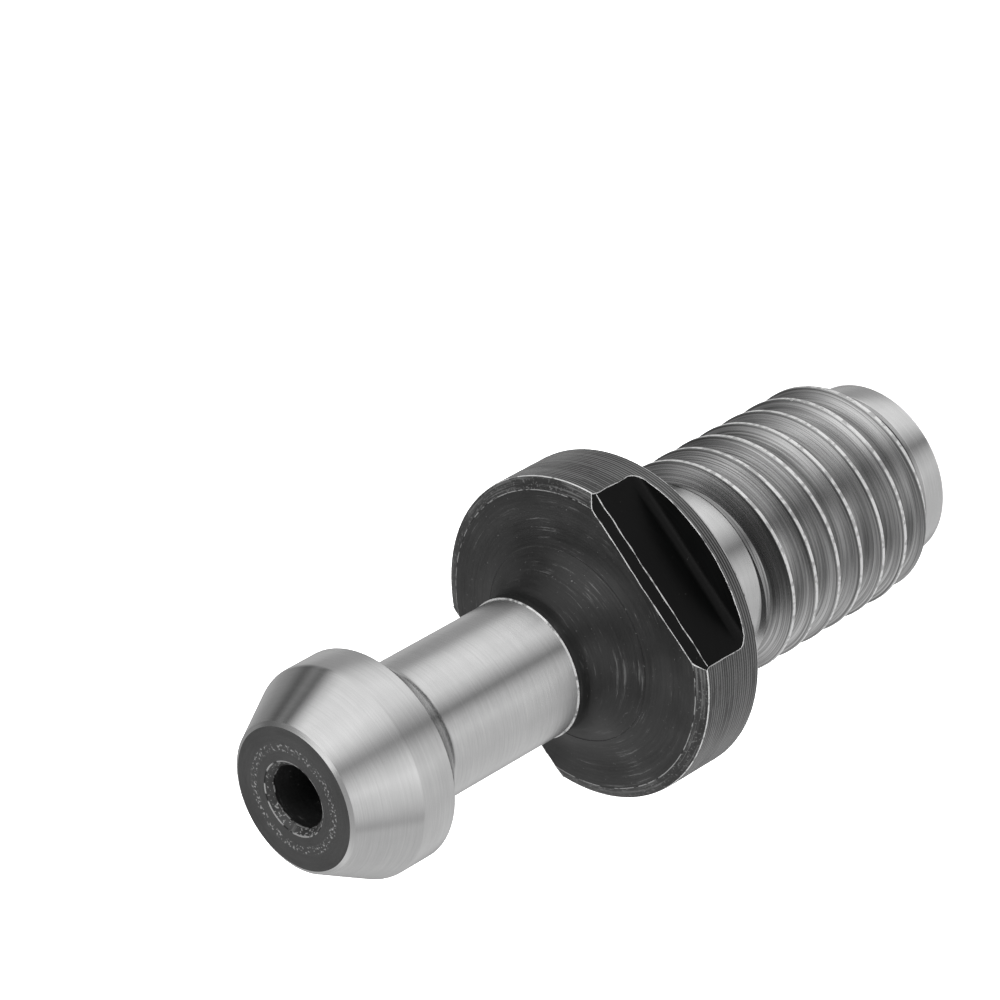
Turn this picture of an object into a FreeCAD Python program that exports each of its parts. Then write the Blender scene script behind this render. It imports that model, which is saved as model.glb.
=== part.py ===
import FreeCAD, Part
import os
import Sketcher

# Pull stud of a 30-taper tool holder, turned from one bar.
# It stands on its threaded end at z = 0 and its head points along +Z.

# Driving dimensions in millimetres, with what each one measures.
driving = [
    ("seatHeight", 18.95, "threaded end face to the flange face that seats on the holder"),
    ("pilotLength", 1.38, "plain cylinder at the threaded end"),
    ("pilotDrop", 1.1, "how far the pilot's radius lies below the crests"),
    ("pilotUndercut", 0.2, "depth of the shallow groove between pilot and thread"),
    ("undercutWidth", 0.45, "length of that groove"),
    ("leadLength", 0.95, "length of the slope from that groove up to the crests"),
    ("endChamfer", 0.05, "edge of the threaded end face"),
    ("threadDiameter", 11.75, "over the crests"),
    ("threadPitch", 1.75, "crest to crest along the axis"),
    ("threadAngle", 60.0, "between the flanks, in degrees"),
    ("threadCrestFlat", 0.2, "flat left on each crest"),
    ("threadRootFlat", 0.4, "flat at the bottom of the groove"),
    ("threadFirstGroove", -1.03, "height of the first groove's middle on the +X side"),
    ("threadOvercut", 0.08, "how far the groove's cutter stands out of the crests"),
    ("threadRunout", 0.3, "what the cutter stops short of the seat face"),
    ("reliefLength", 5.0, "end of the thread to the seat face"),
    ("reliefDrop", 1.035, "how far the relief's radius lies below the crests"),
    ("reliefShoulder", 0.53, "length of the slope from the crests down to the relief"),
    ("flangeDiameter", 17.15, "rim of the flange"),
    ("flangeThickness", 4.07, "seat face to front face"),
    ("flangeFrontChamfer", 0.64, "front edge of the rim, measured across"),
    ("flangeFrontDrop", 0.3, "the same edge, measured along the axis"),
    ("flangeBackChamfer", 0.16, "seat edge of the rim"),
    ("hollowRadius", 3.15, "hollow corner between flange and neck"),
    ("hollowLand", 0.5, "straight stretch between the hollow and the ground neck"),
    ("flatDepth", 1.61, "rim to each spanner flat, which leaves 13.9 for a 14 mm spanner"),
    ("flatLip", 0.9, "full round lip left behind the flats"),
    ("flatCorner", 0.45, "radius between flat and lip"),
    ("flatFrontChamfer", 0.4, "front edge of each flat"),
    ("neckDiameter", 7.34, "ground neck"),
    ("groundStep", 0.06, "step from the ground neck up to the blackened hollow"),
    ("gaugeLength", 18.3, "seat face to the rear edge of the head"),
    ("headDiameter", 11.0, "ground head"),
    ("headBand", 2.1, "cylindrical part of the head"),
    ("headCone", 3.07, "front cone of the head, to the end face"),
    ("headBackFillet", 0.3, "corner between neck and the head's 45 degree back"),
    ("headFaceDiameter", 7.7, "black end face of the head"),
    ("headFaceBevel", 0.15, "bright bevel round the end face"),
    ("boreDiameter", 3.2, "coolant bore through the whole length"),
    ("boreChamfer", 0.32, "both ends of the bore"),
]

doc = FreeCAD.newDocument("pull_stud")
sheet = doc.addObject("Spreadsheet::Sheet", "sizes")
for row, (alias, value, meaning) in enumerate(driving, start=1):
    sheet.set("A%d" % row, alias)
    sheet.set("B%d" % row, str(value))
    sheet.set("C%d" % row, meaning)
    sheet.setAlias("B%d" % row, alias)
doc.recompute()


def size(alias):
    return float(sheet.get(alias))


# Expressions that several features share.
seat = "sizes.seatHeight"
frontFace = "sizes.seatHeight + sizes.flangeThickness"
rimRadius = "sizes.flangeDiameter / 2"
threadRadius = "sizes.threadDiameter / 2"
pilotRadius = threadRadius + " - sizes.pilotDrop"
undercutRadius = pilotRadius + " - sizes.pilotUndercut"
reliefRadius = threadRadius + " - sizes.reliefDrop"
neckRadius = "sizes.neckDiameter / 2"
hollowInside = neckRadius + " + sizes.groundStep"
hollowRoom = "(" + rimRadius + " - sizes.flangeFrontChamfer - " + hollowInside + " - sizes.hollowLand)"
headRadius = "sizes.headDiameter / 2"
faceRadius = "sizes.headFaceDiameter / 2"
groundLine = frontFace + " + sizes.hollowRadius + sizes.hollowLand"
gaugeLine = "sizes.seatHeight + sizes.gaugeLength"
headFace = gaugeLine + " + sizes.headBand + sizes.headCone"

body = doc.addObject("PartDesign::Body", "PullStud")
body.Label = "pull_stud"


def originPlane(role):
    for feature in body.Origin.OriginFeatures:
        if feature.Role == role:
            return feature
    raise RuntimeError("no origin plane " + role)


def newSketch(name, role):
    sketch = body.newObject("Sketcher::SketchObject", name)
    sketch.AttachmentSupport = (originPlane(role), [""])
    sketch.MapMode = "FlatFace"
    return sketch


def drawOutline(sketch, corners):
    """Closed outline of straight lines; each corner is a name and two expressions,
    or None where the corner lies on that axis."""
    count = len(corners)
    for index in range(count):
        start = FreeCAD.Vector(1 + index, 1 + index % 3, 0)
        end = FreeCAD.Vector(2 + index, 1 + (index + 1) % 3, 0)
        sketch.addGeometry(Part.LineSegment(start, end), False)
    for index in range(count):
        following = (index + 1) % count
        sketch.addConstraint(Sketcher.Constraint("Coincident", index, 2, following, 1))
    for index, (name, across, up) in enumerate(corners):
        if across is None:
            sketch.addConstraint(Sketcher.Constraint("PointOnObject", index, 1, -2))
        else:
            placed = sketch.addConstraint(Sketcher.Constraint("DistanceX", -1, 1, index, 1, 1.0 + index))
            sketch.renameConstraint(placed, name + "Across")
            sketch.setExpression("Constraints." + name + "Across", across)
        if up is None:
            sketch.addConstraint(Sketcher.Constraint("PointOnObject", index, 1, -1))
        else:
            placed = sketch.addConstraint(Sketcher.Constraint("DistanceY", -1, 1, index, 1, 1.0 + index % 3))
            sketch.renameConstraint(placed, name + "Up")
            sketch.setExpression("Constraints." + name + "Up", up)


def circleEdge(feature, radius, height):
    """Name of the full circular edge about Z with this radius at this height."""
    for number, edge in enumerate(feature.Shape.Edges, start=1):
        if not isinstance(edge.Curve, Part.Circle):
            continue
        sameRadius = abs(edge.Curve.Radius - radius) < 1e-4
        if sameRadius and abs(edge.Curve.Center.z - height) < 1e-4:
            return "Edge%d" % number
    raise RuntimeError("no circular edge of radius %.3f at z = %.3f" % (radius, height))


# The turned blank: half of the lengthwise section, spun about Z.
section = newSketch("TurnedSection", "XZ_Plane")
drawOutline(section, [
    ("endCentre", None, None),
    ("endEdge", pilotRadius + " - sizes.endChamfer", None),
    ("pilotLow", pilotRadius, "sizes.endChamfer"),
    ("pilotHigh", pilotRadius, "sizes.pilotLength"),
    ("undercutLow", undercutRadius, "sizes.pilotLength + sizes.pilotUndercut / 2"),
    ("undercutHigh", undercutRadius, "sizes.pilotLength + sizes.undercutWidth"),
    ("leadTop", threadRadius, "sizes.pilotLength + sizes.undercutWidth + sizes.leadLength"),
    ("threadTop", threadRadius, seat + " - sizes.reliefLength"),
    ("reliefLow", reliefRadius, seat + " - sizes.reliefLength + sizes.reliefShoulder"),
    ("reliefHigh", reliefRadius, seat),
    ("seatEdge", rimRadius + " - sizes.flangeBackChamfer", seat),
    ("rimLow", rimRadius, seat + " + sizes.flangeBackChamfer"),
    ("rimHigh", rimRadius, frontFace + " - sizes.flangeFrontDrop"),
    ("faceEdge", rimRadius + " - sizes.flangeFrontChamfer", frontFace),
    ("hollowFoot", hollowInside, frontFace),
    ("stepLow", hollowInside, groundLine),
    ("stepHigh", neckRadius, groundLine + " + sizes.groundStep"),
    ("neckTop", neckRadius, gaugeLine + " - " + headRadius + " + " + neckRadius),
    ("headRear", headRadius, gaugeLine),
    ("headFront", headRadius, gaugeLine + " + sizes.headBand"),
    ("coneEnd", faceRadius, headFace + " - sizes.headFaceBevel"),
    ("headFaceEdge", faceRadius + " - sizes.headFaceBevel", headFace),
    ("headCentre", None, headFace),
])
doc.recompute()
blank = body.newObject("PartDesign::Revolution", "TurnedBlank")
blank.Profile = section
blank.ReferenceAxis = (section, ["V_Axis"])
blank.Angle = 360
doc.recompute()

# The two hollow corners: flange to neck, and neck to the back of the head.
footRadius = size("neckDiameter") / 2 + size("groundStep")
footHeight = size("seatHeight") + size("flangeThickness")
hollow = body.newObject("PartDesign::Fillet", "FlangeHollow")
hollow.Base = (blank, [circleEdge(blank, footRadius, footHeight)])
hollow.setExpression("Radius", "min(sizes.hollowRadius, " + hollowRoom + ")")
doc.recompute()

headBackDepth = (size("headDiameter") - size("neckDiameter")) / 2
neckTopHeight = size("seatHeight") + size("gaugeLength") - headBackDepth
backFillet = body.newObject("PartDesign::Fillet", "HeadBackFillet")
backFillet.Base = (hollow, [circleEdge(hollow, size("neckDiameter") / 2, neckTopHeight)])
backFillet.setExpression("Radius", "sizes.headBackFillet")
doc.recompute()

# Coolant bore and its chamfers.
boreCircle = newSketch("BoreCircle", "XY_Plane")
boreCircle.addGeometry(Part.Circle(FreeCAD.Vector(0, 0, 0), FreeCAD.Vector(0, 0, 1), 1.0), False)
boreCircle.addConstraint(Sketcher.Constraint("Coincident", 0, 3, -1, 1))
boreWidth = boreCircle.addConstraint(Sketcher.Constraint("Diameter", 0, 2.0))
boreCircle.renameConstraint(boreWidth, "boreWidth")
boreCircle.setExpression("Constraints.boreWidth", "sizes.boreDiameter")
doc.recompute()
bore = body.newObject("PartDesign::Pocket", "CoolantBore")
bore.Profile = boreCircle
bore.Type = "ThroughAll"
bore.Reversed = True
doc.recompute()

boreRadius = size("boreDiameter") / 2
headFaceHeight = size("seatHeight") + size("gaugeLength") + size("headBand") + size("headCone")
boreEnds = [circleEdge(bore, boreRadius, 0.0), circleEdge(bore, boreRadius, headFaceHeight)]
boreEdges = body.newObject("PartDesign::Chamfer", "BoreChamfers")
boreEdges.Base = (bore, boreEnds)
boreEdges.setExpression("Size", "sizes.boreChamfer")
doc.recompute()

# One spanner flat cut into the rim from the front, then its twin across the axis.
# The sketch looks along X: across is Y, up is Z.
flatSketch = newSketch("FlatSection", "YZ_Plane")
flatSide = "-(" + rimRadius + " - sizes.flatDepth)"
clearOfRim = "-(" + rimRadius + " + sizes.flangeFrontChamfer)"
clearOfFace = frontFace + " + sizes.flangeFrontChamfer"
drawOutline(flatSketch, [
    ("lipInner", flatSide, seat + " + sizes.flatLip"),
    ("lipOuter", clearOfRim, seat + " + sizes.flatLip"),
    ("frontOuter", clearOfRim, clearOfFace),
    ("frontInner", flatSide + " + sizes.flatFrontChamfer + sizes.flangeFrontChamfer", clearOfFace),
    ("flatHigh", flatSide, frontFace + " - sizes.flatFrontChamfer"),
])
doc.recompute()
flat = body.newObject("PartDesign::Pocket", "SpannerFlat")
flat.Profile = flatSketch
flat.Type = "Length"
flat.setExpression("Length", "sizes.flangeDiameter")
flat.Midplane = True
doc.recompute()
flats = body.newObject("PartDesign::PolarPattern", "SpannerFlats")
flats.Originals = [flat]
flats.Axis = (boreCircle, ["N_Axis"])
flats.Angle = 360
flats.Occurrences = 2
body.Tip = flats
doc.recompute()


def lipCorners(feature):
    """Names of the straight edges between each flat and its lip."""
    names = []
    lipHeight = size("seatHeight") + size("flatLip")
    flatDistance = size("flangeDiameter") / 2 - size("flatDepth")
    for number, edge in enumerate(feature.Shape.Edges, start=1):
        ends = [vertex.Point for vertex in edge.Vertexes]
        if len(ends) != 2 or not isinstance(edge.Curve, Part.Line):
            continue
        onFlat = all(abs(abs(end.y) - flatDistance) < 1e-4 for end in ends)
        if onFlat and all(abs(end.z - lipHeight) < 1e-4 for end in ends):
            names.append("Edge%d" % number)
    return names


cornerFillet = body.newObject("PartDesign::Fillet", "FlatCornerFillets")
cornerFillet.Base = (flats, lipCorners(flats))
cornerFillet.setExpression("Radius", "sizes.flatCorner")
doc.recompute()

# The thread: one V groove along a right-hand helix, which fades out over the pilot and the relief.
groove = newSketch("ThreadGroove", "XZ_Plane")
halfFlank = "tan(sizes.threadAngle / 2 * 1 deg)"
rootRadius = (threadRadius + " - (sizes.threadPitch - sizes.threadCrestFlat - sizes.threadRootFlat) / 2 / "
              + halfFlank)
halfMouth = "((sizes.threadPitch - sizes.threadCrestFlat) / 2 + sizes.threadOvercut * " + halfFlank + ")"
drawOutline(groove, [
    ("rootLow", rootRadius, "sizes.threadFirstGroove - sizes.threadRootFlat / 2"),
    ("mouthLow", threadRadius + " + sizes.threadOvercut", "sizes.threadFirstGroove - " + halfMouth),
    ("mouthHigh", threadRadius + " + sizes.threadOvercut", "sizes.threadFirstGroove + " + halfMouth),
    ("rootHigh", rootRadius, "sizes.threadFirstGroove + sizes.threadRootFlat / 2"),
])
doc.recompute()
thread = body.newObject("PartDesign::SubtractiveHelix", "Thread")
thread.Profile = groove
thread.ReferenceAxis = (groove, ["V_Axis"])
thread.Mode = 0
thread.setExpression("Pitch", "sizes.threadPitch")
thread.setExpression("Height", seat + " - sizes.threadRunout - " + halfMouth + " - sizes.threadFirstGroove")
thread.Angle = 0
thread.LeftHanded = False
thread.Reversed = False
body.Tip = thread
doc.recompute()

# Every feature is sound, and each cut took material away.
for item in doc.Objects:
    if "Invalid" in item.State or "Error" in item.State:
        raise RuntimeError("feature failed: " + item.Label)
steps = [backFillet, bore, boreEdges, flat, flats]
for before, after in list(zip(steps, steps[1:])) + [(cornerFillet, thread)]:
    if after.Shape.isNull() or after.Shape.Volume >= before.Shape.Volume:
        raise RuntimeError("cut nothing: " + after.Label)
stud = body.Shape
if stud.isNull() or not stud.isValid() or len(stud.Solids) != 1:
    raise RuntimeError("the stud is not one sound solid")

os.makedirs("parts", exist_ok=True)
stud.exportStep("parts/" + body.Label + ".step")
box = stud.optimalBoundingBox(False, False)
print("pull stud %.2f x %.2f x %.2f mm, %.1f mm3, %d faces" % (
    box.XLength, box.YLength, box.ZLength, stud.Volume, len(stud.Faces)))
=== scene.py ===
import math

import bmesh
import bpy
from mathutils import Matrix, Vector, noise


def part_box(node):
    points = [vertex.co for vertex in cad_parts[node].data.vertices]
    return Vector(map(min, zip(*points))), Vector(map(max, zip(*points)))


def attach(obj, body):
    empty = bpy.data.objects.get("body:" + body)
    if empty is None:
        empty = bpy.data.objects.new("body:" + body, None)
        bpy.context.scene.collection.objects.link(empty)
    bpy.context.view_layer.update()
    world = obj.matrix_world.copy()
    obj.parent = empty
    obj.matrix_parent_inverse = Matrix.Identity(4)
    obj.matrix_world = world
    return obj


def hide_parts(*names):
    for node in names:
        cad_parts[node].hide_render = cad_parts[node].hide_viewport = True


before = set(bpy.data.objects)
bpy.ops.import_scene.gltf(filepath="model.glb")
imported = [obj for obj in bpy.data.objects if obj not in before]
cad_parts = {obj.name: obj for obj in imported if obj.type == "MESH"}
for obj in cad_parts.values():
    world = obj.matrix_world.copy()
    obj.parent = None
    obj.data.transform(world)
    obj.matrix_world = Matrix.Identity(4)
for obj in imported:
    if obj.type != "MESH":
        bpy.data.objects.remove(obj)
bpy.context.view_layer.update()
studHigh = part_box("pull_stud")[1]
mm = 0.001
rim = studHigh.x / mm
top = studHigh.z / mm
print("frame loaded")


# finishes

def newMaterial(name):
    material = bpy.data.materials.new(name)
    material.use_nodes = True
    tree = material.node_tree
    shader = tree.nodes["Principled BSDF"]
    return material, tree, shader


def addMath(tree, operation, first, second=None):
    node = tree.nodes.new("ShaderNodeMath")
    node.operation = operation
    for socket, value in zip(node.inputs, (first, second)):
        if isinstance(value, (int, float)):
            socket.default_value = value
        elif value is not None:
            tree.links.new(value, socket)
    return node.outputs[0]


def addRamp(tree, factor, stops):
    ramp = tree.nodes.new("ShaderNodeValToRGB")
    elements = ramp.color_ramp.elements
    while len(elements) < len(stops):
        elements.new(0.5)
    for element, (place, level) in zip(elements, stops):
        element.position = place
        element.color = (level, level, level, 1.0)
    tree.links.new(factor, ramp.inputs[0])
    return ramp.outputs[0]


def addNoise(tree, vector, scale, detail=3.0, roughness=0.5):
    node = tree.nodes.new("ShaderNodeTexNoise")
    node.inputs["Scale"].default_value = scale
    node.inputs["Detail"].default_value = detail
    node.inputs["Roughness"].default_value = roughness
    tree.links.new(vector, node.inputs["Vector"])
    return node.outputs["Fac"]


# 0 up to the low value, 1 from the high value on
def addStep(tree, value, low, high):
    node = tree.nodes.new("ShaderNodeMapRange")
    node.interpolation_type = "SMOOTHSTEP"
    node.inputs["From Min"].default_value = low
    node.inputs["From Max"].default_value = high
    tree.links.new(value, node.inputs["Value"])
    return node.outputs[0]


def placeInMm(tree):
    coordinates = tree.nodes.new("ShaderNodeTexCoord")
    inMm = tree.nodes.new("ShaderNodeVectorMath")
    inMm.operation = "SCALE"
    inMm.inputs["Scale"].default_value = 1000.0
    tree.links.new(coordinates.outputs["Object"], inMm.inputs[0])
    return inMm.outputs[0]


# the place in mm, a vector that runs fast across the turning lines and slowly round the axis,
# and the radius; riseShare is 1 on a turned face and small on a thread, whose lines climb
def turnedCoordinates(tree, linesPerMm, lineLength, riseShare=1.0):
    place = placeInMm(tree)
    split = tree.nodes.new("ShaderNodeSeparateXYZ")
    tree.links.new(place, split.inputs[0])
    x, y, z = split.outputs
    squares = addMath(tree, "ADD", addMath(tree, "MULTIPLY", x, x), addMath(tree, "MULTIPLY", y, y))
    radius = addMath(tree, "SQRT", squares)
    along = addMath(tree, "SUBTRACT", addMath(tree, "MULTIPLY", z, riseShare), radius)
    lines = tree.nodes.new("ShaderNodeCombineXYZ")
    tree.links.new(addMath(tree, "MULTIPLY", along, linesPerMm), lines.inputs[0])
    for socket, side in zip(lines.inputs[1:], (x, y)):
        tree.links.new(addMath(tree, "MULTIPLY", addMath(tree, "DIVIDE", side, radius), lineLength), socket)
    return place, lines.outputs[0], radius


def mixColour(tree, factor, low, high):
    mix = tree.nodes.new("ShaderNodeMix")
    mix.data_type = "RGBA"
    tree.links.new(factor, mix.inputs["Factor"])
    for socket, value in ((mix.inputs["A"], low), (mix.inputs["B"], high)):
        if isinstance(value, float):
            socket.default_value = (value, value, value, 1.0)
        else:
            tree.links.new(value, socket)
    return mix.outputs["Result"]


def addBump(tree, shader, height, depthMm):
    bump = tree.nodes.new("ShaderNodeBump")
    bump.inputs["Distance"].default_value = depthMm * mm
    tree.links.new(height, bump.inputs["Height"])
    tree.links.new(bump.outputs[0], shader.inputs["Normal"])


# steel that is turned or ground round the axis spreads its gloss along the axis only
def brushRound(tree, shader, amount):
    tangent = tree.nodes.new("ShaderNodeTangent")
    tangent.direction_type = "RADIAL"
    tangent.axis = "Z"
    tree.links.new(tangent.outputs[0], shader.inputs["Tangent"])
    shader.inputs["Anisotropic"].default_value = amount
    shader.inputs["Anisotropic Rotation"].default_value = 0.25


groundFinish = {"dark": 0.57, "light": 0.75, "roughness": 0.22, "linesPerMm": 11.0, "lineLength": 1.4,
                "depth": 0.0010, "brushed": 0.8}


def groundSteel():
    material, tree, shader = newMaterial("ground_steel")
    place, lines = turnedCoordinates(tree, groundFinish["linesPerMm"], groundFinish["lineLength"])[:2]
    streaks = addNoise(tree, lines, 1.0, 4.0, 0.65)
    cloud = addNoise(tree, place, 0.7, 3.0)
    colour = mixColour(tree, addMath(tree, "MULTIPLY", streaks, addMath(tree, "ADD", cloud, 0.5)),
                       groundFinish["dark"], groundFinish["light"])
    tree.links.new(colour, shader.inputs["Base Color"])
    shader.inputs["Metallic"].default_value = 1.0
    shader.inputs["Roughness"].default_value = groundFinish["roughness"]
    brushRound(tree, shader, groundFinish["brushed"])
    addBump(tree, shader, streaks, groundFinish["depth"])
    return material


threadFinish = {"dark": 0.36, "light": 0.64, "roughness": 0.26, "linesPerMm": 15.0, "lineLength": 0.45,
                "depth": 0.003, "brushed": 0.6, "shadeRadius": 5.8, "shadeWidth": 0.04, "shade": 0.5,
                "scoring": 0.55, "riseShare": 0.25}


def threadSteel():
    material, tree, shader = newMaterial("thread_steel")
    lines, radius = turnedCoordinates(tree, threadFinish["linesPerMm"], threadFinish["lineLength"],
                                      threadFinish["riseShare"])[1:]
    streaks = addNoise(tree, lines, 1.0, 4.0, 0.6)
    contrast = addStep(tree, streaks, 0.36, 0.62)
    colour = mixColour(tree, contrast, threadFinish["dark"], threadFinish["light"])
    scoring = addStep(tree, addNoise(tree, lines, 2.1, 1.0, 0.5), 0.34, 0.42)
    colour = mixColour(tree, addMath(tree, "MAXIMUM", scoring, threadFinish["scoring"]), 0.0, colour)
    # painted shade: a thin dark line on the flanks just inside the crests, at shadeRadius, where the colour
    # is halved
    aside = addMath(tree, "ABSOLUTE", addMath(tree, "SUBTRACT", radius, threadFinish["shadeRadius"]))
    shade = addStep(tree, aside, 0.0, threadFinish["shadeWidth"])
    colour = mixColour(tree, addMath(tree, "MAXIMUM", shade, threadFinish["shade"]), 0.0, colour)
    tree.links.new(colour, shader.inputs["Base Color"])
    shader.inputs["Metallic"].default_value = 1.0
    shader.inputs["Roughness"].default_value = threadFinish["roughness"]
    brushRound(tree, shader, threadFinish["brushed"])
    addBump(tree, shader, streaks, threadFinish["depth"])
    return material


# black oxide: turning lines, and lighter arcs and specks where it is scuffed
oxideFinishes = {
    "oxide": {"dark": 0.002, "light": 0.016, "scuff": 0.06, "scuffFrom": 0.6, "speck": 0.08, "speckFrom": 0.7,
              "roughness": 0.34, "gloss": 0.4, "depth": 0.007},
    "rim": {"dark": 0.002, "light": 0.008, "scuff": 0.12, "scuffFrom": 0.38, "speck": 0.12, "speckFrom": 0.74,
            "roughness": 0.27, "gloss": 0.75, "depth": 0.001},
    "scuffed": {"dark": 0.003, "light": 0.02, "scuff": 0.06, "scuffFrom": 0.5, "speck": 0.06,
                "speckFrom": 0.58, "roughness": 0.45, "gloss": 0.4, "depth": 0.008},
    "flat": {"dark": 0.001, "light": 0.003, "scuff": 0.03, "scuffFrom": 0.7, "speck": 0.12, "speckFrom": 0.75,
             "roughness": 0.3, "gloss": 0.15, "depth": 0.001},
    "mouth": {"dark": 0.004, "light": 0.02, "scuff": 0.04, "scuffFrom": 0.6, "speck": 0.14, "speckFrom": 0.58,
              "roughness": 0.4, "gloss": 0.5, "depth": 0.004},
    "face": {"dark": 0.012, "light": 0.018, "scuff": 0.03, "scuffFrom": 0.68, "speck": 0.11,
             "speckFrom": 0.56, "roughness": 0.5, "gloss": 0.35, "depth": 0.002}}
oxideLines = {"linesPerMm": 8.0, "lineLength": 2.2, "scuffBlend": 0.1, "speckBlend": 0.06,
              "scuffAndSheenDepth": 0.012}
speckleRing = {"radius": 2.63, "half": 0.24}  # the worn ring on the head's end face


def blackOxide(name):
    finish = oxideFinishes[name]
    material, tree, shader = newMaterial("black_" + name)
    place, lines, radius = turnedCoordinates(tree, oxideLines["linesPerMm"], oxideLines["lineLength"])
    streaks = addNoise(tree, lines, 1.0, 4.0, 0.6)
    patches = addNoise(tree, place, 0.4, 3.0)
    colour = mixColour(tree, addMath(tree, "MULTIPLY", streaks, patches), finish["dark"], finish["light"] * 2)
    scuffs = addMath(tree, "MULTIPLY", addNoise(tree, lines, 0.9, 6.0, 0.75),
                     addMath(tree, "ADD", addMath(tree, "MULTIPLY", patches, 0.6), 0.7))
    scuffs = addStep(tree, scuffs, finish["scuffFrom"], finish["scuffFrom"] + oxideLines["scuffBlend"])
    # on the rim the lighter scuffs keep to the ridge tops: rubbed wear, and a painted sheen on the ridges as
    # well
    if name == "rim":
        ridgeTops = addStep(tree, radius, rim - oxideLines["scuffAndSheenDepth"], rim)
        scuffs = addMath(tree, "MULTIPLY", scuffs, ridgeTops)
    colour = mixColour(tree, scuffs, colour, finish["scuff"])
    specks = addNoise(tree, place, 7.0, 2.0, 0.6)
    specks = addStep(tree, specks, finish["speckFrom"], finish["speckFrom"] + oxideLines["speckBlend"])
    if name == "face":
        aside = addMath(tree, "ABSOLUTE", addMath(tree, "SUBTRACT", radius, speckleRing["radius"]))
        ring = addStep(tree, aside, speckleRing["half"], 0.6 * speckleRing["half"])
        specks = addMath(tree, "MULTIPLY", specks, ring)
    colour = mixColour(tree, specks, colour, finish["speck"])
    tree.links.new(colour, shader.inputs["Base Color"])
    shader.inputs["Roughness"].default_value = finish["roughness"]
    shader.inputs["Specular IOR Level"].default_value = finish["gloss"]
    addBump(tree, shader, streaks, finish["depth"])
    return material


edgeFinishes = {"edge": {"dark": 0.2, "light": 0.55, "darkBelow": 0.36, "scale": 2.0},
                # crest: rubbed steel, and a painted highlight along the thread's crests
                "crest": {"dark": 0.45, "light": 0.75, "darkBelow": 0.4, "scale": 2.5},
                "broken": {"dark": 0.01, "light": 0.2, "darkBelow": 0.42, "scale": 1.7}}
edgeBlend = 0.12


# edges where the finish is rubbed through: whole lines, the thread's crests, and broken lines; on the crests
# this lighter finish is rubbed steel and also a painted highlight
def wornEdge(name):
    finish = edgeFinishes[name]
    material, tree, shader = newMaterial("worn_" + name)
    patches = addNoise(tree, placeInMm(tree), finish["scale"], 3.0)
    bright = addStep(tree, patches, finish["darkBelow"], finish["darkBelow"] + edgeBlend)
    colour = mixColour(tree, bright, finish["dark"], finish["light"])
    tree.links.new(colour, shader.inputs["Base Color"])
    shader.inputs["Metallic"].default_value = 0.5
    shader.inputs["Roughness"].default_value = 0.35
    return material


finishes = {"ground": groundSteel(), "thread": threadSteel()}
for name in edgeFinishes:
    finishes[name] = wornEdge(name)
for name in oxideFinishes:
    finishes[name] = blackOxide(name)
finishNames = list(finishes)
print("finishes made")


# the turned body, in millimetres up the axis from the threaded end
turned = {"steps": 240, "seatHeight": 18.95, "flangeThickness": 4.07, "frontAcross": 0.64, "frontDrop": 0.3,
          "backChamfer": 0.16, "ridgePitch": 0.155, "ridgeDepth": 0.014,
          "hollowRadius": 3.15, "hollowLand": 0.5, "toolMark": 32.4, "toolMarkDepth": 0.03,
          "neckRadius": 3.67, "groundStep": 0.06, "gaugeLength": 18.3, "headRadius": 5.5, "headBand": 2.1,
          "faceRadius": 3.85, "faceBevel": 0.15, "boreRadius": 1.6, "boreChamfer": 0.32,
          "pilotRadius": 4.775, "pilotLength": 1.38, "pilotUndercut": 0.2, "undercutWidth": 0.45,
          "leadLength": 0.95, "endChamfer": 0.05, "crestRadius": 5.875,
          "reliefRadius": 4.84, "reliefLength": 5.0, "reliefShoulder": 0.53,
          "hollowOuter": 6.95, "threadTop": 14.1}
edgeSizes = {"headBack": 0.04, "cone": 0.14, "neck": 0.3, "bore": 0.04, "pilot": 0.03, "rimFront": 0.05,
             "rimBack": 0.04, "front": 0.025, "groundStep": 0.02}


def ringEdges(bm, radius, height):
    found = []
    for edge in bm.edges:
        ends = [(math.hypot(v.co.x, v.co.y), v.co.z) for v in edge.verts]
        if all(abs(r - radius * mm) < 1e-6 and abs(z - height * mm) < 1e-6 for r, z in ends):
            found.append(edge)
    return found


def bevelRing(bm, radius, height, offset, segments, finish=None):
    material = -1 if finish is None else finishNames.index(finish)
    bmesh.ops.bevel(bm, geom=ringEdges(bm, radius, height), offset=offset * mm, offset_type="OFFSET",
                    segments=segments, profile=0.5, affect="EDGES", material=material, clamp_overlap=False)


# the fine ridges that the tool left on the rim, from the seat to the front chamfer
def rimRidges(low, high):
    count = int((high - low) / turned["ridgePitch"])
    pitch = (high - low) / count
    points = [(rim, low)]
    for ridge in range(count):
        depth = turned["ridgeDepth"] * (1.0 + 0.6 * noise.noise(Vector((ridge * 1.7, 0.3, 0.9))))
        points.append((rim - depth, low + (ridge + 0.5) * pitch))
        points.append((rim, low + (ridge + 1) * pitch))
    return points


# the hollow from the flange's face up to the neck, with the fine step where the tool stopped
def hollowArc(hollow, front):
    radius = turned["hollowRadius"]
    mark = turned["toolMark"]
    angles = [mark * i / 9 for i in range(10)] + [mark + 0.6 + (89.4 - mark) * i / 16 for i in range(17)]
    points = []
    for angle in angles:
        reach = radius + (turned["toolMarkDepth"] if mark < angle < 89 else 0.0)
        turn = math.radians(angle)
        points.append((hollow + radius - reach * math.sin(turn), front + radius - reach * math.cos(turn)))
    return points


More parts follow.
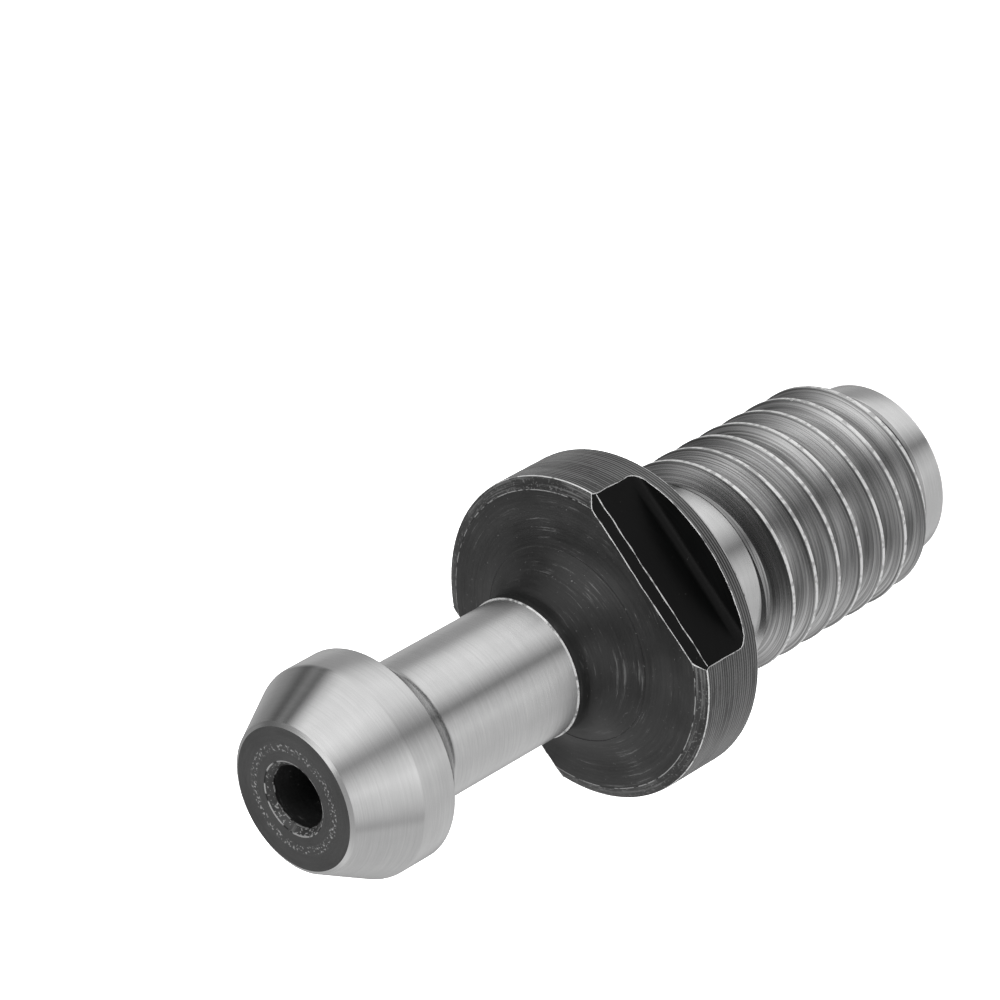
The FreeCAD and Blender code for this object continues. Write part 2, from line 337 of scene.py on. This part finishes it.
def turnedBody():
    seat = turned["seatHeight"]
    front = seat + turned["flangeThickness"]
    rimHigh = front - turned["frontDrop"]
    rimLow = seat + turned["backChamfer"]
    neck = turned["neckRadius"]
    hollow = neck + turned["groundStep"]
    ground = front + turned["hollowRadius"] + turned["hollowLand"]
    gauge = seat + turned["gaugeLength"]
    head = turned["headRadius"]
    crest = turned["crestRadius"]
    pilot = turned["pilotRadius"]
    pilotEnd = turned["pilotLength"]
    undercut = pilot - turned["pilotUndercut"]
    leadLow = pilotEnd + turned["undercutWidth"]
    reliefLow = seat - turned["reliefLength"]
    bore = turned["boreRadius"]
    relief = turned["reliefRadius"]
    corners = [(bore, 0.0), (pilot, 0.0), (pilot, pilotEnd),
               (undercut, pilotEnd + turned["pilotUndercut"] / 2), (undercut, leadLow),
               (crest, leadLow + turned["leadLength"]), (crest, reliefLow),
               (relief, reliefLow + turned["reliefShoulder"]), (relief, seat),
               (rim - turned["backChamfer"], seat)]
    corners += rimRidges(rimLow, rimHigh)
    corners += [(rim - turned["frontAcross"], front)]
    corners += hollowArc(hollow, front)
    corners += [(hollow, ground), (neck, ground + turned["groundStep"]), (neck, gauge - head + neck),
                (head, gauge),
                (head, gauge + turned["headBand"]), (turned["faceRadius"], top), (bore, top)]
    bm = bmesh.new()
    verts = [bm.verts.new((radius * mm, 0.0, height * mm)) for radius, height in corners]
    for start, end in zip(verts, verts[1:] + verts[:1]):
        bm.edges.new((start, end))
    bmesh.ops.spin(bm, geom=bm.verts[:] + bm.edges[:], cent=(0, 0, 0), axis=(0, 0, 1), angle=math.tau,
                   steps=turned["steps"], use_merge=True, use_duplicate=False)
    bmesh.ops.remove_doubles(bm, verts=bm.verts, dist=1e-7)
    bevelRing(bm, head, gauge, edgeSizes["headBack"], 2)
    bevelRing(bm, head, gauge + turned["headBand"], edgeSizes["cone"], 3)
    bevelRing(bm, neck, gauge - head + neck, edgeSizes["neck"], 4)
    bevelRing(bm, turned["faceRadius"], top, turned["faceBevel"], 1)
    bevelRing(bm, bore, top, turned["boreChamfer"], 1)
    bevelRing(bm, bore, top - turned["boreChamfer"], edgeSizes["bore"], 1, "broken")
    bevelRing(bm, bore + turned["boreChamfer"], top, edgeSizes["bore"], 1, "broken")
    bevelRing(bm, bore, 0.0, turned["boreChamfer"], 1)
    bevelRing(bm, pilot, 0.0, turned["endChamfer"], 2)
    bevelRing(bm, pilot, pilotEnd, edgeSizes["pilot"], 1)
    bevelRing(bm, rim, rimHigh, edgeSizes["rimFront"], 2, "edge")
    bevelRing(bm, rim, rimLow, edgeSizes["rimBack"], 1, "edge")
    bevelRing(bm, rim - turned["frontAcross"], front, edgeSizes["front"], 1, "broken")
    bevelRing(bm, neck, ground + turned["groundStep"], edgeSizes["groundStep"], 1, "edge")
    bmesh.ops.recalc_face_normals(bm, faces=bm.faces)
    inner = rim - turned["frontAcross"]
    mouthLow = top - turned["boreChamfer"] - 0.01
    stepHigh = ground + turned["groundStep"] + 0.01
    # the first zone that holds a face's middle gives its finish: radii, then heights, in mm
    zones = [("oxide", 0.0, bore + 0.01, 0.4, mouthLow),
             ("mouth", bore, bore + turned["boreChamfer"], mouthLow, top),
             ("face", 0.0, turned["faceRadius"] - turned["faceBevel"] / 2, top - 0.05, top + 1),
             ("ground", 0.0, rim, stepHigh, top + 1),
             ("edge", neck - 0.1, hollow, ground, stepHigh),
             ("oxide", 0.0, turned["hollowOuter"], front - 0.01, ground),
             ("scuffed", inner, rim, rimHigh, front + 0.01),
             ("oxide", 0.0, rim, front - 0.01, top),
             ("edge", rim - turned["backChamfer"], rim, seat, rimLow),
             ("rim", rim - 0.2, rim + 1, seat, front),
             ("oxide", 0.0, rim, seat - 0.01, seat + 0.01),
             # the pilot's undercut is painted dark with the black finish
             ("oxide", 0.0, undercut + 0.02, pilotEnd, leadLow),
             ("ground", 0.0, rim, 0.0, seat)]
    rubbed = {finishNames.index(finish) for finish in edgeFinishes}
    for face in bm.faces:
        if face.material_index in rubbed:
            continue
        centre = face.calc_center_median() / mm
        radius = math.hypot(centre.x, centre.y)
        for finish, near, far, low, high in zones:
            if near <= radius <= far and low <= centre.z <= high:
                face.material_index = finishNames.index(finish)
                break
    return bm


# the two spanner flats, cut from the front of the rim and closed by the lip behind
flats = {"depth": 1.61, "lip": 0.9, "corner": 0.45, "frontChamfer": 0.4}


def flatCutter(turns):
    bm = bmesh.new()
    seat = turned["seatHeight"]
    front = seat + turned["flangeThickness"]
    side = -(rim - flats["depth"])
    over = 0.9
    outside = -(rim + over)
    lip = seat + flats["lip"]
    section = [(side, lip), (outside, lip), (outside, front + over),
               (side + flats["frontChamfer"] + over, front + over), (side, front - flats["frontChamfer"])]
    verts = [bm.verts.new((outside * mm, y * mm, z * mm)) for y, z in section]
    face = bm.faces.new(verts)
    moved = bmesh.ops.extrude_face_region(bm, geom=[face])["geom"]
    bmesh.ops.translate(bm, verts=[v for v in moved if isinstance(v, bmesh.types.BMVert)],
                        vec=(2 * (rim + over) * mm, 0, 0))
    corner = [e for e in bm.edges
              if all(abs(v.co.y - side * mm) < 1e-7 and abs(v.co.z - lip * mm) < 1e-7 for v in e.verts)]
    bmesh.ops.bevel(bm, geom=corner, offset=flats["corner"] * mm, offset_type="OFFSET", segments=6,
                    profile=0.5, affect="EDGES", material=-1)
    bmesh.ops.recalc_face_normals(bm, faces=bm.faces)
    bmesh.ops.rotate(bm, verts=bm.verts, cent=(0, 0, 0), matrix=Matrix.Rotation(turns * math.tau, 3, "Z"))
    for face in bm.faces:
        face.material_index = finishNames.index("flat")
    return bm


def meshObject(bm, name):
    mesh = bpy.data.meshes.new(name)
    bm.to_mesh(mesh)
    bm.free()
    for finish in finishes.values():
        mesh.materials.append(finish)
    piece = bpy.data.objects.new(name, mesh)
    bpy.context.scene.collection.objects.link(piece)
    return piece


# the thread: the section of its groove, swept up a right-hand helix
groove = {"pitch": 1.75, "crestFlat": 0.2, "rootFlat": 0.4, "firstMiddle": -1.03, "overcut": 0.08,
          "halfAngle": 30.0}


def grooveCutter():
    pitch = groove["pitch"]
    slope = math.tan(math.radians(groove["halfAngle"]))
    crest = turned["crestRadius"]
    halfMouth = (pitch - groove["crestFlat"]) / 2
    halfRoot = groove["rootFlat"] / 2
    root = crest - (halfMouth - halfRoot) / slope
    mouth = crest + groove["overcut"]
    halfMouth += groove["overcut"] * slope
    start = groove["firstMiddle"]
    section = [(root, -halfRoot), (mouth, -halfMouth), (mouth, halfMouth), (root, halfRoot)]
    last = turned["seatHeight"] - turned["reliefLength"] + turned["reliefShoulder"] + pitch / 2
    turns = math.ceil((last - start) / pitch)
    bm = bmesh.new()
    verts = [bm.verts.new((radius * mm, 0.0, (start + up) * mm)) for radius, up in section]
    for low, high in zip(verts, verts[1:] + verts[:1]):
        bm.edges.new((low, high))
    bmesh.ops.spin(bm, geom=bm.verts[:] + bm.edges[:], cent=(0, 0, 0), axis=(0, 0, 1), angle=math.tau,
                   dvec=(0, 0, pitch * mm / turned["steps"]), steps=turned["steps"], use_merge=False,
                   use_duplicate=False)
    oneTurn = bm.verts[:] + bm.edges[:] + bm.faces[:]
    for turn in range(1, turns):
        copied = bmesh.ops.duplicate(bm, geom=oneTurn)["geom"]
        bmesh.ops.translate(bm, verts=[v for v in copied if isinstance(v, bmesh.types.BMVert)],
                            vec=(0, 0, turn * pitch * mm))
    bmesh.ops.remove_doubles(bm, verts=bm.verts, dist=1e-6)
    bmesh.ops.holes_fill(bm, edges=[e for e in bm.edges if e.is_boundary])
    bmesh.ops.recalc_face_normals(bm, faces=bm.faces)
    for face in bm.faces:
        face.material_index = finishNames.index("thread")
    return bm


# small nicks on the thread: compass angle in degrees, radius, height and size in mm
nicks = [(-34, 5.90, 5.02, 0.13), (-42, 5.90, 4.98, 0.08), (-110, 5.38, 4.39, 0.05), (-122, 5.38, 7.83, 0.05),
         (-136, 5.38, 11.52, 0.07), (-152, 5.45, 11.32, 0.06), (-162, 5.88, 11.92, 0.08),
         (-30, 5.88, 6.7, 0.09), (70, 5.88, 7.2, 0.1), (118, 5.88, 10.9, 0.09)]


def nickCutter():
    bm = bmesh.new()
    for angle, radius, height, size in nicks:
        turn = math.radians(angle)
        place = Matrix.Translation(Vector((radius * math.cos(turn), radius * math.sin(turn), height)) * mm)
        bmesh.ops.create_icosphere(bm, subdivisions=1, radius=size * mm, matrix=place)
    for face in bm.faces:
        face.material_index = finishNames.index("edge")
    return bm


# the short scratch beside the thread's end
scratch = {"from": -65.0, "to": -34.0, "height": 14.56, "fall": 0.1, "width": 0.05, "depth": 0.05}


def scratchCutter():
    bm = bmesh.new()
    relief = turned["reliefRadius"]
    half = scratch["width"] / 2
    section = [(relief - scratch["depth"], 0.0), (relief + 0.2, -half), (relief + 0.2, half)]
    verts = [bm.verts.new((radius * mm, 0.0, (scratch["height"] + up) * mm)) for radius, up in section]
    face = bm.faces.new(verts)
    bmesh.ops.rotate(bm, verts=bm.verts, cent=(0, 0, 0),
                     matrix=Matrix.Rotation(math.radians(scratch["from"]), 3, "Z"))
    steps = 24
    bmesh.ops.spin(bm, geom=bm.verts[:] + bm.edges[:] + [face], cent=(0, 0, 0), axis=(0, 0, 1),
                   angle=math.radians(scratch["to"] - scratch["from"]), steps=steps,
                   dvec=(0, 0, -scratch["fall"] * mm / steps), use_merge=False, use_duplicate=False)
    bmesh.ops.holes_fill(bm, edges=[e for e in bm.edges if e.is_boundary])
    bmesh.ops.recalc_face_normals(bm, faces=bm.faces)
    for face in bm.faces:
        face.material_index = finishNames.index("oxide")
    return bm


def cutBody(body, cutters):
    for cutter in cutters:
        modifier = body.modifiers.new("cut", "BOOLEAN")
        modifier.operation = "DIFFERENCE"
        modifier.solver = "EXACT"
        modifier.object = cutter
    evaluated = body.evaluated_get(bpy.context.evaluated_depsgraph_get())
    cut = bpy.data.meshes.new_from_object(evaluated)
    bm = bmesh.new()
    bm.from_mesh(cut)
    for spare in cutters + [body]:
        bpy.data.objects.remove(spare)
    return bm


# a point's place, rounded, to pick the same one each run in whatever order the cut left them
def placeOf(point):
    return tuple(round(c / mm, 4) for c in point)


def edgePlace(edge):
    return placeOf((edge.verts[0].co + edge.verts[1].co) / 2)


# closed lines of points where one finish meets the others
def seamLoops(bm, finish):
    inside = finishNames.index(finish)
    seam = {e for e in bm.edges if len(e.link_faces) == 2
            and sum(f.material_index == inside for f in e.link_faces) == 1}
    loops = []
    while seam:
        edge = min(seam, key=edgePlace)
        seam.discard(edge)
        vert = min(edge.verts, key=lambda v: placeOf(v.co))
        line = [vert.co.copy()]
        while edge:
            vert = edge.other_vert(vert)
            line.append(vert.co.copy())
            edge = min((e for e in vert.link_edges if e in seam), key=edgePlace, default=None)
            seam.discard(edge)
        loops.append(line)
    return loops


# the bright burr that milling left along the flats' edges
burr = {"width": 0.05, "uneven": 0.8, "wander": 0.03, "spacing": 0.12, "short": 0.06, "inset": 0.01,
        "halfSteps": 30}


def addBurr(bm, line, closed):
    points = [line[0]]
    for point in line[1:]:
        if (point - points[-1]).length > burr["spacing"] * mm:
            points.append(point)
    data = bpy.data.curves.new("burr", "CURVE")
    data.dimensions = "3D"
    data.bevel_depth = burr["width"] / 2 * mm
    data.bevel_resolution = 1
    data.use_fill_caps = not closed
    spline = data.splines.new("POLY")
    spline.points.add(len(points) - 1)
    spline.use_cyclic_u = closed
    for target, point in zip(spline.points, points):
        place = point / mm
        shift = Vector([noise.noise(place * 1.3 + Vector((axis * 9.1, 0, 0))) for axis in range(3)])
        target.co = (*(point + shift * burr["wander"] * mm), 1.0)
        target.radius = 1.0 + burr["uneven"] * noise.noise(place * 2.1)
    holder = bpy.data.objects.new("burr", data)
    mesh = bpy.data.meshes.new_from_object(holder)
    before = len(bm.faces)
    bm.from_mesh(mesh)
    bm.faces.ensure_lookup_table()
    for face in bm.faces[before:]:
        face.material_index = finishNames.index("edge")
    bpy.data.objects.remove(holder)


def chamferLine(turns):
    side = -(rim - flats["depth"])
    height = turned["seatHeight"] + turned["flangeThickness"] - flats["frontChamfer"]
    half = math.sqrt(rim * rim - side * side) - burr["short"]
    steps = burr["halfSteps"]
    turn = Matrix.Rotation(turns * math.tau, 3, "Z")
    return [turn @ Vector((half * (i / steps - 1), side - burr["inset"], height)) * mm
            for i in range(2 * steps + 1)]


# what the groove leaves of the crests is rubbed bright, and their lighter finish also paints the crests'
# highlight
def rubCrestsAndPaintHighlight(bm):
    for face in bm.faces:
        if face.material_index == finishNames.index("ground"):
            radii = [math.hypot(v.co.x, v.co.y) / mm for v in face.verts]
            low = max(v.co.z for v in face.verts) < turned["threadTop"] * mm
            if low and min(radii) > turned["crestRadius"] - 0.02:
                face.material_index = finishNames.index("crest")


body = meshObject(turnedBody(), "turned_body")
print("body turned")
cutters = [meshObject(flatCutter(turns), "flat_cutter") for turns in (0.0, 0.5)]
cutters += [meshObject(grooveCutter(), "groove_cutter"), meshObject(nickCutter(), "nick_cutter"),
            meshObject(scratchCutter(), "scratch_cutter")]
studMesh = cutBody(body, cutters)
rubCrestsAndPaintHighlight(studMesh)
print("flats and thread cut:", len(studMesh.faces), "faces")
for line in seamLoops(studMesh, "flat"):
    if (line[0] - line[-1]).length < 1e-6 and len(line) > 30:
        addBurr(studMesh, line[:-1], True)
for turns in (0.0, 0.5):
    addBurr(studMesh, chamferLine(turns), False)
stud = meshObject(studMesh, "stud")
print("burrs added:", len(stud.data.polygons), "faces")
stud.data.polygons.foreach_set("use_smooth", [True] * len(stud.data.polygons))
stud.data.set_sharp_from_angle(angle=math.radians(30))
weighted = stud.modifiers.new("weighted", "WEIGHTED_NORMAL")
weighted.keep_sharp = True
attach(stud, "root")
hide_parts("pull_stud")


# floor, light and camera
floorSettings = {"half": 0.6, "colour": 0.86, "glow": 0.7}


def makeFloor():
    bm = bmesh.new()
    bmesh.ops.create_grid(bm, x_segments=8, y_segments=8, size=floorSettings["half"])
    mesh = bpy.data.meshes.new("floor")
    bm.to_mesh(mesh)
    bm.free()
    floor = bpy.data.objects.new("floor", mesh)
    bpy.context.scene.collection.objects.link(floor)
    material, tree, shader = newMaterial("floor")
    shader.inputs["Base Color"].default_value = (*[floorSettings["colour"]] * 3, 1.0)
    shader.inputs["Roughness"].default_value = 0.9
    shader.inputs["Emission Color"].default_value = (1.0, 1.0, 1.0, 1.0)
    shader.inputs["Emission Strength"].default_value = floorSettings["glow"]
    mesh.materials.append(material)
    floor.visible_glossy = False
    floor.visible_diffuse = False


cameraSettings = {"lens": 181.737, "aim": (0.0077265, -0.0007608, 0.0227133), "distance": 0.248126,
                  "azimuth": -7.519, "elevation": 39.340, "roll": -118.152}


def cameraTurn():
    return (Matrix.Rotation(math.radians(cameraSettings["azimuth"]), 4, "Z")
            @ Matrix.Rotation(math.radians(90 - cameraSettings["elevation"]), 4, "X")
            @ Matrix.Rotation(math.radians(cameraSettings["roll"]), 4, "Z"))


def makeCamera():
    camera = bpy.data.objects.new("camera", bpy.data.cameras.new("camera"))
    bpy.context.scene.collection.objects.link(camera)
    camera.data.lens = cameraSettings["lens"]
    camera.data.sensor_width = 36.0
    camera.data.clip_start = 0.005
    turn = cameraTurn()
    back = turn @ Vector((0, 0, 1))
    place = Vector(cameraSettings["aim"]) + back * cameraSettings["distance"]
    camera.matrix_world = Matrix.Translation(place) @ turn
    bpy.context.scene.camera = camera


# lamps that only light the floor and the black finish, because the steel mirrors the room
lamps = {"over": {"place": (0.0, 0.0, 1.0), "distance": 0.35, "size": 0.30, "power": 1.3},
         "left": {"place": (-1.0, -0.6, 0.9), "distance": 0.40, "size": 0.25, "power": 0.8},
         "right": {"place": (1.0, -0.5, 0.8), "distance": 0.40, "size": 0.25, "power": 0.8},
         "back": {"place": (0.2, 1.0, 0.8), "distance": 0.40, "size": 0.25, "power": 0.8}}


def makeLamps():
    aim = Vector((0, 0, 0.5 * studHigh.z))
    for name, lamp in lamps.items():
        light = bpy.data.lights.new(name, "AREA")
        light.shape = "DISK"
        light.size = lamp["size"]
        light.energy = lamp["power"]
        holder = bpy.data.objects.new(name, light)
        bpy.context.scene.collection.objects.link(holder)
        towards = Vector(lamp["place"]).normalized()
        holder.location = aim + towards * lamp["distance"]
        holder.rotation_euler = towards.to_track_quat("Z", "Y").to_euler()
        holder.visible_glossy = False


# the room that the steel mirrors: light panels and dark gaps by compass angle in degrees, in
# three storeys that blend into each other at the heights given, as the sine of the elevation
room = {"below": [(-180, 0.64), (-150, 0.66), (-132, 0.76), (-112, 0.6), (-95, 0.24), (-78, 0.6), (-62, 0.9),
                  (-35, 1.0), (-14, 0.84), (6, 0.42), (30, 0.4), (48, 0.55), (100, 0.42),
                  (125, 0.68), (180, 0.64)],
        "level": [(-180, 0.6), (-172, 0.45), (-160, 0.66), (-140, 0.9), (-128, 1.1), (-113, 0.85),
                  (-95, 0.28), (-77, 0.8), (-60, 1.0), (-20, 0.95), (-10, 0.7), (3, 0.12), (12, 0.26),
                  (22, 0.1), (36, 0.26), (90, 0.45), (130, 0.6), (180, 0.6)],
        "above": [(-180, 0.4), (-110, 0.36), (-85, 0.5), (-60, 1.3), (-8, 1.2), (8, 0.58), (24, 0.28),
                  (43, 0.1), (60, 0.3), (85, 0.5), (125, 0.85), (150, 0.55), (165, 0.4), (180, 0.4)],
        "levelFrom": (-0.5, -0.3), "aboveFrom": (0.3, 0.5)}


def makeWorld():
    world = bpy.data.worlds.new("studio")
    world.use_nodes = True
    tree = world.node_tree
    coordinates = tree.nodes.new("ShaderNodeTexCoord")
    split = tree.nodes.new("ShaderNodeSeparateXYZ")
    tree.links.new(coordinates.outputs["Generated"], split.inputs[0])
    compass = addMath(tree, "ARCTAN2", split.outputs[1], split.outputs[0])
    turn = addMath(tree, "ADD", addMath(tree, "DIVIDE", compass, math.tau), 0.5)
    walls = {storey: addRamp(tree, turn, [(angle / 360 + 0.5, level) for angle, level in room[storey]])
             for storey in ("below", "level", "above")}
    up = split.outputs[2]
    lower = mixColour(tree, addStep(tree, up, *room["levelFrom"]), walls["below"], walls["level"])
    whole = mixColour(tree, addStep(tree, up, *room["aboveFrom"]), lower, walls["above"])
    tree.links.new(whole, tree.nodes["Background"].inputs["Color"])
    bpy.context.scene.world = world
    bpy.context.scene.view_settings.view_transform = "Standard"


makeFloor()
makeCamera()
makeLamps()
makeWorld()
print("stage set")
